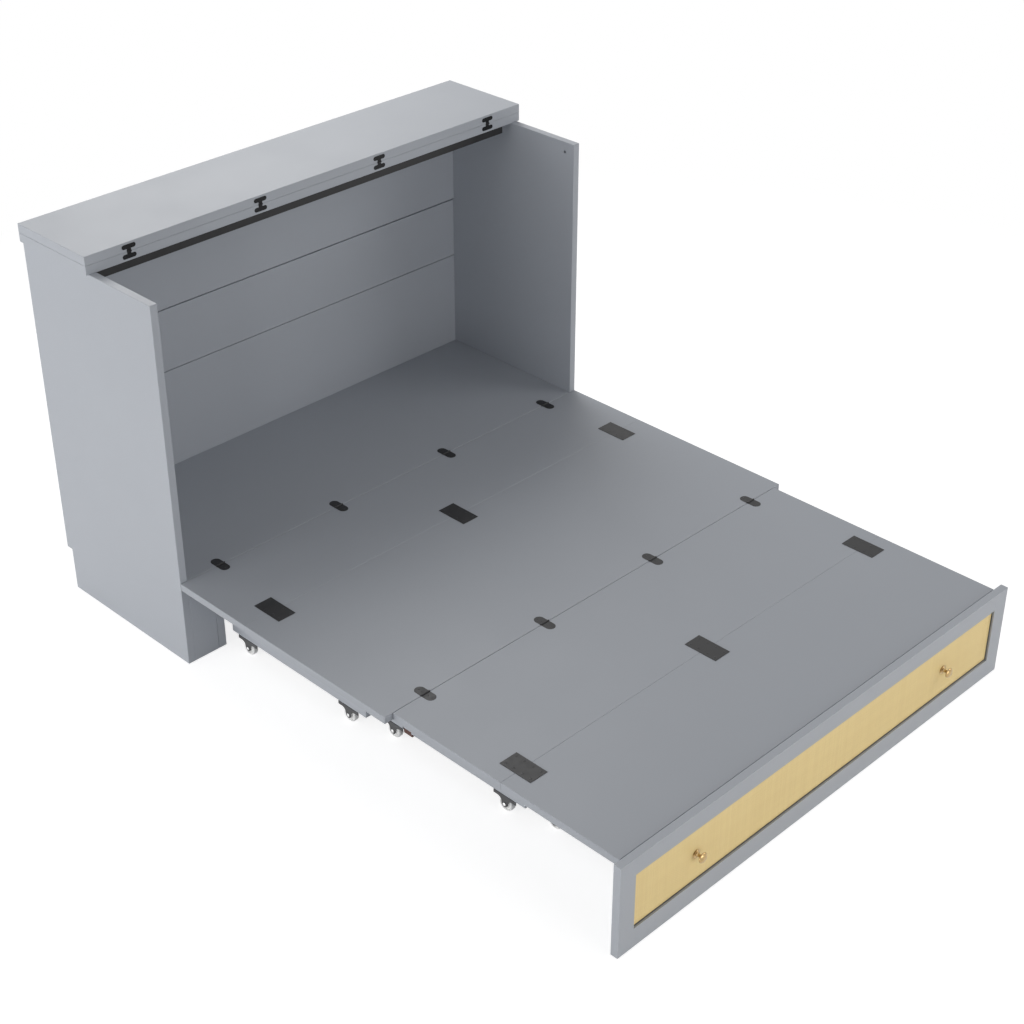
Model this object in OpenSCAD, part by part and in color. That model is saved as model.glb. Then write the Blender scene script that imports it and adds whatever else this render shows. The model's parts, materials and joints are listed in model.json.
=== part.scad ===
// Cabinet bed, shown open: a painted cabinet whose top folds back, a deck in
// three parts that unfolds forward, and three nested carts on rigid casters
// that run out from under the cabinet and carry the deck.
//
// X runs to the right as seen from the foot of the bed, Y to the back of the
// cabinet, Z up. The floor is z = 0. Sizes are laid out from the front plane
// of the cabinet, and placed() moves the origin under the middle of the bed.

/* [Cabinet] */
// Width over the two side panels
cabinet_w = 1435; // [1200:5:1700]
// Depth of a side panel, front edge to rear edge
cabinet_d = 520; // [500:5:560]
// Height of a side panel
side_h = 1013; // [965:1:1090]
// Thickness of a side panel
side_t = 21; // [16:0.5:24]
// Depth of the rear cut-out that clears a skirting board
skirting_d = 22; // [10:1:40]
// Height of the rear cut-out that clears a skirting board
skirting_h = 123; // [60:1:180]
// Thickness of the lower and middle back boards
back_t = 14; // [9:0.5:18]
// How far the upper back board is thicker towards the front
upper_back_step = 3; // [1:0.5:6]
// Height of the shadow groove under the upper back board
back_groove_h = 5; // [2:0.5:8]
// Height of the line between the middle and lower back boards
back_line_h = 1.5; // [1:0.5:4]
// Depth of both, from the front of the back boards
back_groove_d = 6; // [2:0.5:7]
// Height of the lower seam in the back
back_low_seam_z = 535; // [400:1:600]
// Height of the upper seam in the back
back_high_seam_z = 717; // [650:1:850]
// Small chamfer on every edge of a painted board
edge_ease = 0.8; // [0.3:0.1:1.5]
// Smaller easing of the front frame, whose joints are sanded flush
joint_ease = 0.2; // [0.1:0.1:0.5]

/* [Top and lid] */
// Thickness of the fixed top and of the lid
top_t = 24; // [22:0.5:30]
// Overhang of the top and lid past each side panel
top_overhang = 8; // [0:1:20]
// Gap under the lid, both folded back and closed
lid_gap = 0.3; // [0.2:0.1:0.6]
// Height of the dark stiffener under the fixed top
stiffener_h = 19.5; // [12:0.5:30]
// Depth of the dark stiffener
stiffener_d = 20; // [10:0.5:30]
// How far the stiffener stops short of the right side panel
stiffener_end_gap = 37; // [5:1:80]

/* [Deck] */
// Height of the deck's upper face
deck_z = 248; // [235:1:275]
// Thickness of the deck boards
deck_t = 20; // [18:0.5:22]
// Open seam at each line of deck hinges
deck_seam = 1; // [0.6:0.1:1.6]
// Gap between the closed lid and the hinges at the top of the raised deck
lid_clearance = 1; // [0.5:0.1:2]
// Length of the rear board of the middle deck
mid_rear_board_l = 253; // [200:1:400]
// Length of the front deck
front_deck_l = 690; // [600:5:690]
// Length of the rear board of the front deck
front_rear_board_l = 345; // [250:1:450]
// Gap between the folded front deck and each side panel
front_deck_gap = 3.5; // [2:0.5:10]
// Set-back of the bevel under the deck's front end
end_bevel_d = 8; // [7:0.5:12]
// Thickness left above that bevel
end_bevel_t = 5; // [4:0.5:6]
// Gap between the deck's front end and the front board
front_gap = 5.5; // [5.5:0.5:9]
// Width of a joining plate, along X
plate_w = 53; // [30:1:80]
// Length of a joining plate, across its seam
plate_l = 95; // [60:1:140]
// Thickness of a joining plate
plate_t = 1.2; // [0.8:0.1:1.4]
// Distance of the outer joining plates' middles from the front deck's sides
plate_inset = 71; // [40:1:150]

/* [Plinth] */
// Width of the board between a side panel and its plinth panel
plinth_front_w = 77; // [60:1:90]
// Thickness of that board
plinth_front_t = 18; // [12:1:25]
// Thickness of a plinth panel, which stands under the deck
plinth_panel_t = 23.5; // [16:0.5:26]
// Width of the line between a plinth front and its panel
plinth_line_w = 1.5; // [0.5:0.5:3]
// Depth of that line
plinth_line_d = 6; // [2:0.5:9]

/* [Hinges] */
// Thickness of a hinge leaf
leaf_t = 2.5; // [2.3:0.1:3]
// How far a leaf stands out of its pocket
leaf_proud = 0.4; // [0:0.1:0.4]
// Play round a leaf in its pocket
leaf_play = 0.2; // [0.1:0.05:0.4]
// Outside radius of a hinge knuckle
knuckle_r = 2.3; // [2:0.1:2.4]
// Gap beside and around a knuckle
knuckle_gap = 0.3; // [0.2:0.05:0.4]
// Radius of a hinge pin
pin_r = 1.2; // [0.8:0.1:1.4]
// Running clearance of a hinge pin, on the radius
pin_play = 0.05; // [0.02:0.01:0.1]
// Width of a deck hinge, along its axis
deck_leaf_w = 27; // [15:0.5:30]
// Length of a deck hinge leaf, from its axis to its round end
deck_leaf_l = 31.5; // [20:0.5:40]
// Height of the deck hinge axes over the deck
deck_axis_rise = 1; // [0.8:0.1:1.4]
// Distance of the outer deck hinges from the side panels
deck_hinge_inset = 104; // [60:1:160]
// Width of the long bar of a lid hinge leaf
lid_leaf_w = 40; // [30:1:60]
// Height of the long bar of a lid hinge leaf
lid_leaf_h = 11.6; // [8:0.2:13]
// Distance from the lid hinge axis to the middle of that bar
lid_leaf_reach = 12.5; // [11:0.5:14]
// Width of the neck between that bar and the knuckles
lid_neck_w = 12; // [8:0.5:16]
// How far the lid hinge axis lies in front of the top's front face
lid_axis_out = 0.5; // [0.45:0.05:0.8]
// Distance of the outer lid hinges from the side panels
lid_hinge_inset = 96.5; // [60:0.5:160]

/* [Carts] */
// Thickness of the cart rails
rail_t = 20; // [16:0.5:22]
// Thickness of the board across the rear of each cart
cross_t = 9; // [6:0.5:12]
// Running gap over the carts, under the deck
deck_gap = 0.3; // [0.2:0.1:0.6]
// Running gap between a plinth panel and the rear cart
plinth_gap = 12; // [5:0.5:20]
// Gap between the rails of one cart and of the next one inside it
nest_gap = 15; // [10:0.5:18]
// Set-back of the rear cart's rear end from the cabinet's front, when out
rear_cart_setback = 15.5; // [10:0.5:25]
// Overlap of two neighbouring carts when they are run right out
cart_overlap = 3.5; // [2:0.5:20]
// Gap between the closed rear cart and the plane of the cabinet's back
cart_back_gap = 1; // [1:0.5:10]
// Gap at both ends of a closed cart, to the board behind and the one before it
cart_end_gap = 0.5; // [0.3:0.1:2]
// Gap between the front board and the raised deck when closed
closed_gap = 1.5; // [1:0.5:3]

/* [Casters] */
// Diameter of a wheel
wheel_d = 41; // [36:0.5:46]
// Gap between a wheel and the plate above it
wheel_top_gap = 2.8; // [1.5:0.1:5]
// Width of a wheel
wheel_w = 15; // [10:0.5:16]
// Radius of an axle
axle_r = 3; // [2:0.1:4]
// Running clearance of a wheel on its axle, on the radius
axle_play = 0.05; // [0.02:0.01:0.1]
// Sheet thickness of a fork
fork_t = 2.2; // [1.5:0.1:3]
// Gap between a wheel and each fork leg
wheel_gap = 1.2; // [0.6:0.1:2]
// Length of a fork's top plate
fork_l = 72; // [60:1:90]
// Height of the straight side flange under that plate
flange_h = 9; // [6:0.5:12]
// Radius of the eye round the axle
eye_r = 8.7; // [7:0.1:10]
// Distance of a cart's front caster from the cart's front end
caster_front_x = 66; // [50:1:100]
// Distance of a cart's rear caster from the cart's rear end
caster_rear_x = 61; // [50:1:100]
// Length of the stop block under each middle rail
stop_l = 30; // [15:1:45]
// Width of the stop block
stop_w = 14; // [8:0.5:16]
// Height of the stop block
stop_h = 18; // [14:0.5:24]
// How far the stop block stands out under the rail
stop_drop = 12; // [2:0.5:13]

/* [Front board] */
// Height of the front board's top edge over the deck
front_lip = 6; // [4:0.5:6]
// Gap between the front board and the floor
floor_gap = 2; // [1:0.5:10]
// How much narrower the front board is than the cabinet, each side
front_inset = 1; // [0:0.5:5]
// Thickness of the front board's frame
front_t = 20; // [16:0.5:22]
// Width of a stile
stile_w = 49; // [30:1:80]
// Height of the top rail
top_rail_h = 47; // [30:1:70]
// Height of the bottom rail
bottom_rail_h = 53; // [30:1:70]
// Depth of the cane behind the frame's front
cane_recess = 5.5; // [3:0.5:8]
// Thickness of the cane sheet
cane_t = 2.5; // [1.5:0.5:4]
// Thickness of the board behind the cane
backing_t = 6; // [3:0.5:8]
// How far the cane and its backing are let into the frame
panel_let = 8; // [4:0.5:12]
// Distance of a knob from the stile beside it
knob_inset = 203.5; // [60:0.5:400]
// How far a knob stands off the cane
knob_l = 24; // [18:0.5:35]
// Radius of a knob's head
knob_r = 9.3; // [7:0.1:14]
// Radius of a knob's round base
rosette_r = 11; // [8:0.5:16]
// Thickness of that base
rosette_t = 2.4; // [1.5:0.1:4]

/* [Latch holes] */
// Radius of the blind hole inside each side panel
latch_hole_r = 4.2; // [2:0.1:5]
// Depth of that hole
latch_hole_d = 12; // [6:0.5:15]
// Distance of that hole from the front edge
latch_hole_y = 34; // [20:1:80]
// Distance of that hole from the panel's top edge
latch_hole_drop = 29; // [15:1:80]

/* [Hidden] */
$fn = 48;
cut = 1;

// Colours
paint = [0.66, 0.69, 0.73];
deck_paint = [0.56, 0.59, 0.63];
dark_metal = [0.16, 0.16, 0.17];
fork_metal = [0.30, 0.30, 0.31];
pale_plastic = [0.88, 0.88, 0.88];
brown_rubber = [0.32, 0.20, 0.17];
cane = [0.81, 0.73, 0.53];
brass = [0.83, 0.66, 0.36];

// Cabinet planes
half_w = cabinet_w / 2;
inner_x = half_w - side_t;
back_y = cabinet_d - skirting_d;
deck_low_z = deck_z - deck_t;
top_z = side_h + top_t;
plinth_outer_x = inner_x - plinth_front_w;
plinth_inner_x = plinth_outer_x - plinth_panel_t;

// Hinge axes. The raised middle deck ends just under the closed lid, and the
// closed lid ends flush with the front board.
deck_axis_z = deck_z + deck_axis_rise;
lid_axis_z = top_z + lid_gap;
mid_deck_l = side_h + lid_gap - lid_clearance - knuckle_r - deck_seam - deck_axis_z;
rear_axis_y = -deck_seam / 2;
front_axis_y = rear_axis_y - deck_seam - mid_deck_l;
closed_front_y = rear_axis_y - deck_axis_rise - deck_t - closed_gap;
lid_axis_y = (cabinet_d + closed_front_y - front_t) / 2;
top_front_y = lid_axis_y + lid_axis_out;
deck_hinge_x = inner_x - deck_hinge_inset;
lid_hinge_x = inner_x - lid_hinge_inset;
hinge_shares = [-1, -1 / 3, 1 / 3, 1];

// Deck seams, from the cabinet forward
mid_rear_y = -deck_seam;
mid_seam_y = mid_rear_y - mid_rear_board_l;
mid_front_y = mid_rear_y - mid_deck_l;
front_rear_y = mid_front_y - deck_seam;
front_seam_y = front_rear_y - front_rear_board_l;
front_end_y = front_rear_y - front_deck_l;
front_deck_half_w = inner_x - front_deck_gap;
plate_x = front_deck_half_w - plate_inset;
plate_xs = [-plate_x, 0, plate_x];

// Carts, from the cabinet forward. Closed, they lie one inside the other
// between the front board and the plane of the cabinet's back.
closed_cart_y = closed_front_y + cart_end_gap;
rear_cart_l = back_y - cart_back_gap - closed_cart_y;
middle_cart_l = rear_cart_l - cross_t - cart_end_gap;
caster_h = wheel_d + wheel_top_gap + fork_t;
rail_top_z = deck_low_z - deck_gap;
front_back_y = front_end_y - front_gap;
front_face_y = front_back_y - front_t;
rear_cart_x = plinth_inner_x - plinth_gap;
middle_cart_x = rear_cart_x - rail_t - nest_gap;
front_cart_x = middle_cart_x - rail_t - nest_gap;
rear_cart_y = -rear_cart_setback;
rear_cart_end_y = rear_cart_y - rear_cart_l;
middle_cart_y = rear_cart_end_y + cart_overlap;
middle_cart_end_y = middle_cart_y - middle_cart_l;
front_cart_y = middle_cart_end_y + cart_overlap;
front_cart_end_y = front_back_y;
axle_z = wheel_d / 2;
leg_in_x = wheel_w / 2 + wheel_gap;
leg_out_x = leg_in_x + fork_t;

// Front board
front_half_w = half_w - front_inset;
front_top_z = deck_z + front_lip;
window_x = front_half_w - stile_w;
window_low_z = floor_gap + bottom_rail_h;
window_high_z = front_top_z - top_rail_h;
cane_y = front_face_y + cane_recess;
knob_x = window_x - knob_inset;
knob_z = (window_low_z + window_high_z) / 2;
knob_tip_y = cane_y - knob_l;

// The origin lies on the floor under the middle of the whole bed
origin_y = -(cabinet_d + knob_tip_y) / 2;

// Travels from the open pose to the closed one, printed for the record
rear_cart_travel = closed_cart_y - rear_cart_end_y;
middle_cart_travel = closed_cart_y - middle_cart_end_y - rear_cart_travel;
front_cart_travel = closed_front_y - front_back_y - middle_cart_travel - rear_cart_travel;
echo(origin_y = origin_y);
echo(lid_axis = [0, lid_axis_y + origin_y, lid_axis_z]);
echo(rear_axis = [0, rear_axis_y + origin_y, deck_axis_z]);
echo(front_axis = [0, front_axis_y + origin_y, deck_axis_z]);
echo(travels = [rear_cart_travel, middle_cart_travel, front_cart_travel]);

module placed() {
    translate([0, origin_y, 0]) children();
}

// A rectangle with its four corners cut off
module eased_rect(w, h, ease) {
    polygon([
        [ease, 0], [w - ease, 0], [w, ease], [w, h - ease],
        [w - ease, h], [ease, h], [0, h - ease], [0, ease]
    ]);
}

// A board between two corners, with a small chamfer on all its edges
module board(low, high, ease = edge_ease) {
    size = high - low;
    translate(low) intersection() {
        linear_extrude(size.z) eased_rect(size.x, size.y, ease);
        translate([0, size.y, 0]) rotate([90, 0, 0]) linear_extrude(size.y) eased_rect(size.x, size.z, ease);
        rotate([90, 0, 90]) linear_extrude(size.x) eased_rect(size.y, size.z, ease);
    }
}

// The same board on the left or, with side = 1, on the right
module side_board(side, x0, x1, y0, y1, z0, z1, ease = edge_ease) {
    if (side > 0) board([x0, y0, z0], [x1, y1, z1], ease);
    else board([-x1, y0, z0], [-x0, y1, z1], ease);
}

// Outline of a deck hinge leaf: straight from the axis, then a round end
module deck_leaf_outline(play = 0) {
    r = deck_leaf_w / 2 + play;
    translate([-r, 0]) square([2 * r, deck_leaf_l - deck_leaf_w / 2]);
    translate([0, deck_leaf_l - deck_leaf_w / 2]) circle(r);
}

// Outline of a lid hinge leaf: a neck from the axis to a bar with round ends
module lid_leaf_outline(play = 0) {
    r = lid_leaf_h / 2 + play;
    reach = lid_leaf_w / 2 - lid_leaf_h / 2;
    translate([-lid_neck_w / 2 - play, 0]) square([lid_neck_w + 2 * play, lid_leaf_reach]);
    translate([-reach, lid_leaf_reach - r]) square([2 * reach, 2 * r]);
    for (x = [-reach, reach]) translate([x, lid_leaf_reach]) circle(r);
}

// Spans of the knuckles along the axis: the middle one, or the two outer ones
function knuckle_spans(w, middle) = middle
    ? [[-w / 6 + knuckle_gap / 2, w / 6 - knuckle_gap / 2]]
    : [[-w / 2, -w / 6 - knuckle_gap / 2], [w / 6 + knuckle_gap / 2, w / 2]];

// A hinge leaf that lies along +Y from its axis, which is X through the
// origin. The face that it is let into is the plane z = -rise.
module hinge_leaf(rise, w, middle) {
    high = leaf_proud - rise;
    root = knuckle_r + knuckle_gap;
    difference() {
        union() {
            translate([0, 0, high - leaf_t]) linear_extrude(leaf_t) difference() {
                children();
                translate([-w, -cut]) square([2 * w, root + cut]);
            }
            for (span = knuckle_spans(w, middle)) {
                translate([span[0], 0, 0]) rotate([90, 0, 90]) linear_extrude(span[1] - span[0]) {
                    circle(knuckle_r);
                    translate([0, -knuckle_r]) square([root + leaf_t, knuckle_r + high]);
                }
            }
        }
        rotate([0, 90, 0]) cylinder(r = pin_r + pin_play, h = 2 * w, center = true);
    }
}

module hinge_pin(w) {
    rotate([0, 90, 0]) cylinder(r = pin_r, h = w, center = true);
}

// The pocket that a leaf is let into, cut through the edge at the axis
module hinge_pocket(rise) {
    translate([0, 0, leaf_proud - rise - leaf_t]) linear_extrude(leaf_t + cut) children();
}

module deck_pocket() {
    hinge_pocket(deck_axis_rise) {
        deck_leaf_outline(leaf_play);
        translate([-deck_leaf_w / 2 - leaf_play, -cut]) square([deck_leaf_w + 2 * leaf_play, 2 * cut]);
    }
}

module lid_pocket() {
    hinge_pocket(lid_axis_out) {
        lid_leaf_outline(leaf_play);
        translate([-lid_neck_w / 2 - leaf_play, -cut]) square([lid_neck_w + 2 * leaf_play, 2 * cut]);
    }
}

// Puts its children at each deck hinge of an axis, facing back or forward
module at_deck_hinges(axis_y, forward) {
    for (share = hinge_shares) {
        translate([share * deck_hinge_x, axis_y, deck_axis_z]) rotate([0, 0, forward ? 180 : 0]) children();
    }
}

// Puts its children at each lid hinge, facing up or down
module at_lid_hinges(down) {
    for (share = hinge_shares) {
        translate([share * lid_hinge_x, lid_axis_y, lid_axis_z])
            rotate([90, 0, 0]) rotate([0, 0, down ? 180 : 0]) children();
    }
}

// Cabinet
module side_panel(side) {
    difference() {
        side_board(side, inner_x, half_w, 0, cabinet_d, 0, side_h);
        translate([side * half_w - side_t - cut, back_y, -cut])
            cube([2 * (side_t + cut), skirting_d + cut, skirting_h + cut]);
        translate([side * (inner_x - cut), latch_hole_y, side_h - latch_hole_drop])
            rotate([0, side * 90, 0]) cylinder(r = latch_hole_r, h = latch_hole_d + cut);
    }
}

module left_side_panel() {
    color(paint) placed() side_panel(-1);
}

module right_side_panel() {
    color(paint) placed() side_panel(1);
}

module fixed_top_board() {
    x = half_w + top_overhang;
    color(paint) placed() difference() {
        board([-x, top_front_y, side_h], [x, cabinet_d, top_z]);
        at_lid_hinges(true) lid_pocket();
    }
}

module top_stiffener() {
    low = [-inner_x, top_front_y, side_h - stiffener_h];
    high = [inner_x - stiffener_end_gap, top_front_y + stiffener_d, side_h];
    color(dark_metal) placed() board(low, high);
}

module back_board(low_z, high_z, t) {
    board([-inner_x, back_y - t, low_z], [inner_x, back_y, high_z]);
}

// A back board whose front is cut back along its top edge, to leave a line under the next one
module grooved_back_board(low_z, high_z, groove_h) {
    difference() {
        back_board(low_z, high_z, back_t);
        translate([-inner_x - cut, back_y - back_t - cut, high_z - groove_h])
            cube([2 * (inner_x + cut), back_groove_d + cut, groove_h + cut]);
    }
}

module upper_back_board() {
    color(paint) placed() back_board(back_high_seam_z, side_h, back_t + upper_back_step);
}

module middle_back_board() {
    color(paint) placed() grooved_back_board(back_low_seam_z, back_high_seam_z, back_groove_h);
}

module lower_back_board() {
    color(paint) placed() grooved_back_board(deck_z, back_low_seam_z, back_line_h);
}

module fixed_deck_board() {
    color(deck_paint) placed() difference() {
        board([-inner_x, 0, deck_low_z], [inner_x, back_y, deck_z]);
        at_deck_hinges(rear_axis_y, false) deck_pocket();
    }
}

module plinth_front(side) {
    line_x = side > 0 ? plinth_outer_x - cut : -plinth_outer_x - plinth_line_w;
    difference() {
        side_board(side, plinth_outer_x, inner_x, 0, plinth_front_t, 0, deck_low_z);
        translate([line_x, -cut, -cut])
            cube([plinth_line_w + cut, plinth_line_d + cut, deck_low_z + 2 * cut]);
    }
}

module left_plinth_front() {
    color(paint) placed() plinth_front(-1);
}

module right_plinth_front() {
    color(paint) placed() plinth_front(1);
}

module plinth_panel(side) {
    side_board(side, plinth_inner_x, plinth_outer_x, 0, back_y, 0, deck_low_z);
}

module left_plinth_panel() {
    color(paint) placed() plinth_panel(-1);
}

module right_plinth_panel() {
    color(paint) placed() plinth_panel(1);
}

module cabinet_deck_hinge_leaves() {
    color(dark_metal) placed() at_deck_hinges(rear_axis_y, false) {
        hinge_leaf(deck_axis_rise, deck_leaf_w, false) deck_leaf_outline();
        hinge_pin(deck_leaf_w);
    }
}

module cabinet_lid_hinge_leaves() {
    color(dark_metal) placed() at_lid_hinges(true) {
        hinge_leaf(lid_axis_out, lid_neck_w, false) lid_leaf_outline();
        hinge_pin(lid_neck_w);
    }
}

// Lid, drawn folded back on the fixed top
module lid_board() {
    x = half_w + top_overhang;
    color(paint) placed() difference() {
        board([-x, top_front_y, lid_axis_z], [x, cabinet_d, lid_axis_z + top_t]);
        at_lid_hinges(false) lid_pocket();
    }
}

module lid_hinge_leaves() {
    color(dark_metal) placed() at_lid_hinges(false)
        hinge_leaf(lid_axis_out, lid_neck_w, true) lid_leaf_outline();
}

// Middle deck
module mid_deck_rear_board() {
    color(deck_paint) placed() difference() {
        board([-half_w, mid_seam_y, deck_low_z], [half_w, mid_rear_y, deck_z]);
        at_deck_hinges(rear_axis_y, true) deck_pocket();
    }
}

module mid_deck_front_board() {
    color(deck_paint) placed() difference() {
        board([-half_w, mid_front_y, deck_low_z], [half_w, mid_seam_y, deck_z]);
        at_deck_hinges(front_axis_y, false) deck_pocket();
    }
}

module joining_plates(seam_y) {
    for (x = plate_xs) {
        board(
            [x - plate_w / 2, seam_y - plate_l / 2, deck_z],
            [x + plate_w / 2, seam_y + plate_l / 2, deck_z + plate_t],
            plate_t / 4
        );
    }
}

module mid_deck_joining_plates() {
    color(dark_metal) placed() joining_plates(mid_seam_y);
}

module mid_deck_rear_hinge_leaves() {
    color(dark_metal) placed() at_deck_hinges(rear_axis_y, true)
        hinge_leaf(deck_axis_rise, deck_leaf_w, true) deck_leaf_outline();
}

module mid_deck_front_hinge_leaves() {
    color(dark_metal) placed() at_deck_hinges(front_axis_y, false) {
        hinge_leaf(deck_axis_rise, deck_leaf_w, false) deck_leaf_outline();
        hinge_pin(deck_leaf_w);
    }
}

// Front deck
module front_deck_rear_board() {
    x = front_deck_half_w;
    color(deck_paint) placed() difference() {
        board([-x, front_seam_y, deck_low_z], [x, front_rear_y, deck_z]);
        at_deck_hinges(front_axis_y, true) deck_pocket();
    }
}

// Its end is bevelled underneath, to swing up clear of the front board
module front_deck_front_board() {
    x = front_deck_half_w;
    low = deck_t - end_bevel_t;
    color(deck_paint) placed() difference() {
        board([-x, front_end_y, deck_low_z], [x, front_seam_y, deck_z]);
        translate([-x - cut, front_end_y, deck_low_z]) rotate([90, 0, 90])
            linear_extrude(2 * (x + cut)) polygon([
                [-cut, -cut], [end_bevel_d + cut * end_bevel_d / low, -cut], [0, low], [-cut, low]
            ]);
    }
}

module front_deck_joining_plates() {
    color(dark_metal) placed() joining_plates(front_seam_y);
}

module front_deck_hinge_leaves() {
    color(dark_metal) placed() at_deck_hinges(front_axis_y, true)
        hinge_leaf(deck_axis_rise, deck_leaf_w, true) deck_leaf_outline();
}

// Carts
module cart_rail(side, outer_x, y, end_y) {
    side_board(side, outer_x - rail_t, outer_x, end_y, y, caster_h, rail_top_z);
}

module cart_cross_board(outer_x, y) {
    x = outer_x - rail_t;
    board([-x, y - cross_t, caster_h], [x, y, rail_top_z]);
}

// Side view of a fork leg, with the axle at the origin and Y towards the rear
module fork_leg_outline() {
    high = caster_h - axle_z;
    flange_z = high - flange_h;
    sweep_r = flange_z - axle_r / 2;
    circle(eye_r);
    difference() {
        translate([-eye_r - sweep_r, 0]) square([2 * (eye_r + sweep_r), flange_z]);
        for (side = [-1, 1]) translate([side * (eye_r + sweep_r), axle_r / 2]) circle(sweep_r);
        for (side = [-1, 1]) {
            translate([side * (eye_r + sweep_r) - sweep_r, -cut]) square([2 * sweep_r, axle_r / 2 + cut]);
        }
    }
    translate([-fork_l / 2, flange_z]) square([fork_l, flange_h]);
}

// A rigid caster's pressed fork with its riveted axle
module caster_fork() {
    translate([0, 0, axle_z]) {
        difference() {
            for (x = [-leg_out_x, leg_in_x]) {
                translate([x, 0, 0]) rotate([90, 0, 90]) linear_extrude(fork_t) fork_leg_outline();
            }
            rotate([0, 90, 0]) cylinder(r = axle_r, h = 4 * leg_out_x, center = true);
        }
        translate([-leg_in_x, -fork_l / 2, caster_h - axle_z - fork_t])
            cube([2 * leg_in_x, fork_l, fork_t]);
        rotate([0, 90, 0]) cylinder(r = axle_r, h = 2 * leg_out_x, center = true);
        for (side = [-1, 1]) {
            translate([side * leg_out_x, 0, 0]) rotate([0, side * 90, 0])
                cylinder(r1 = axle_r * 1.5, r2 = axle_r, h = fork_t / 2);
        }
    }
}

// A wheel about the X axis, with a crowned tread and dished sides
module caster_wheel() {
    r = wheel_d / 2;
    round_r = wheel_w / 4;
    hub_r = r * 0.4;
    rim_r = r * 0.74;
    dish = wheel_w / 6;
    bore_r = axle_r + axle_play;
    hub_half_w = wheel_w / 2 + wheel_gap - 4 * axle_play;
    rotate([0, 90, 0]) rotate_extrude() {
        difference() {
            union() {
                translate([bore_r, -wheel_w / 2]) square([r - round_r - bore_r, wheel_w]);
                translate([bore_r, round_r - wheel_w / 2]) square([r - bore_r, wheel_w - 2 * round_r]);
                for (side = [-1, 1]) translate([r - round_r, side * (wheel_w / 2 - round_r)]) circle(round_r);
            }
            for (side = [-1, 1]) {
                translate([hub_r, side * wheel_w / 2 - dish]) square([rim_r - hub_r, 2 * dish]);
            }
        }
        translate([bore_r, -hub_half_w]) square([(hub_r - bore_r) / 2, 2 * hub_half_w]);
    }
}

function caster_x(outer_x) = outer_x - rail_t / 2;
function caster_y(y, end_y, front) = front ? end_y + caster_front_x : y - caster_rear_x;

module cart_forks(outer_x, y, end_y) {
    for (side = [-1, 1], front = [false, true]) {
        translate([side * caster_x(outer_x), caster_y(y, end_y, front), 0]) caster_fork();
    }
}

module cart_wheel(side, outer_x, y, end_y, front) {
    translate([side * caster_x(outer_x), caster_y(y, end_y, front), axle_z]) caster_wheel();
}

// Rear cart
module rear_cart_left_rail() {
    color(paint) placed() cart_rail(-1, rear_cart_x, rear_cart_y, rear_cart_end_y);
}

module rear_cart_right_rail() {
    color(paint) placed() cart_rail(1, rear_cart_x, rear_cart_y, rear_cart_end_y);
}

module rear_cart_cross_board() {
    color(paint) placed() cart_cross_board(rear_cart_x, rear_cart_y);
}

module rear_cart_caster_forks() {
    color(fork_metal) placed() cart_forks(rear_cart_x, rear_cart_y, rear_cart_end_y);
}

module rear_cart_wheel(side, front) {
    color(pale_plastic) placed() cart_wheel(side, rear_cart_x, rear_cart_y, rear_cart_end_y, front);
}

module rear_cart_rear_left_wheel() {
    rear_cart_wheel(-1, false);
}

module rear_cart_rear_right_wheel() {
    rear_cart_wheel(1, false);
}

module rear_cart_front_left_wheel() {
    rear_cart_wheel(-1, true);
}

module rear_cart_front_right_wheel() {
    rear_cart_wheel(1, true);
}

// Middle cart
stop_y = middle_cart_y - caster_rear_x - fork_l / 2 - stop_l;

module middle_cart_rail(side) {
    difference() {
        cart_rail(side, middle_cart_x, middle_cart_y, middle_cart_end_y);
        translate([side * caster_x(middle_cart_x) - rail_t, stop_y, caster_h - cut])
            cube([2 * rail_t, stop_l, cut + stop_h - stop_drop]);
    }
}

module middle_cart_left_rail() {
    color(paint) placed() middle_cart_rail(-1);
}

module middle_cart_right_rail() {
    color(paint) placed() middle_cart_rail(1);
}

module middle_cart_cross_board() {
    color(paint) placed() cart_cross_board(middle_cart_x, middle_cart_y);
}

module middle_cart_stop_blocks() {
    z = caster_h - stop_drop;
    color(brown_rubber) placed() for (side = [-1, 1]) {
        x = side * caster_x(middle_cart_x);
        board([x - stop_w / 2, stop_y, z], [x + stop_w / 2, stop_y + stop_l, z + stop_h]);
    }
}

module middle_cart_caster_forks() {
    color(fork_metal) placed() cart_forks(middle_cart_x, middle_cart_y, middle_cart_end_y);
}

module middle_cart_wheel(side, front) {
    color(pale_plastic) placed() cart_wheel(side, middle_cart_x, middle_cart_y, middle_cart_end_y, front);
}

module middle_cart_rear_left_wheel() {
    middle_cart_wheel(-1, false);
}

module middle_cart_rear_right_wheel() {
    middle_cart_wheel(1, false);
}

module middle_cart_front_left_wheel() {
    middle_cart_wheel(-1, true);
}

module middle_cart_front_right_wheel() {
    middle_cart_wheel(1, true);
}

// Front cart
module front_cart_left_rail() {
    color(paint) placed() cart_rail(-1, front_cart_x, front_cart_y, front_cart_end_y);
}

module front_cart_right_rail() {
    color(paint) placed() cart_rail(1, front_cart_x, front_cart_y, front_cart_end_y);
}

module front_cart_cross_board() {
    color(paint) placed() cart_cross_board(front_cart_x, front_cart_y);
}

module front_cart_caster_forks() {
    color(fork_metal) placed() cart_forks(front_cart_x, front_cart_y, front_cart_end_y);
}

module front_cart_wheel(side, front) {
    color(pale_plastic) placed() cart_wheel(side, front_cart_x, front_cart_y, front_cart_end_y, front);
}

module front_cart_rear_left_wheel() {
    front_cart_wheel(-1, false);
}

module front_cart_rear_right_wheel() {
    front_cart_wheel(1, false);
}

module front_cart_front_left_wheel() {
    front_cart_wheel(-1, true);
}

module front_cart_front_right_wheel() {
    front_cart_wheel(1, true);
}

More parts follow.
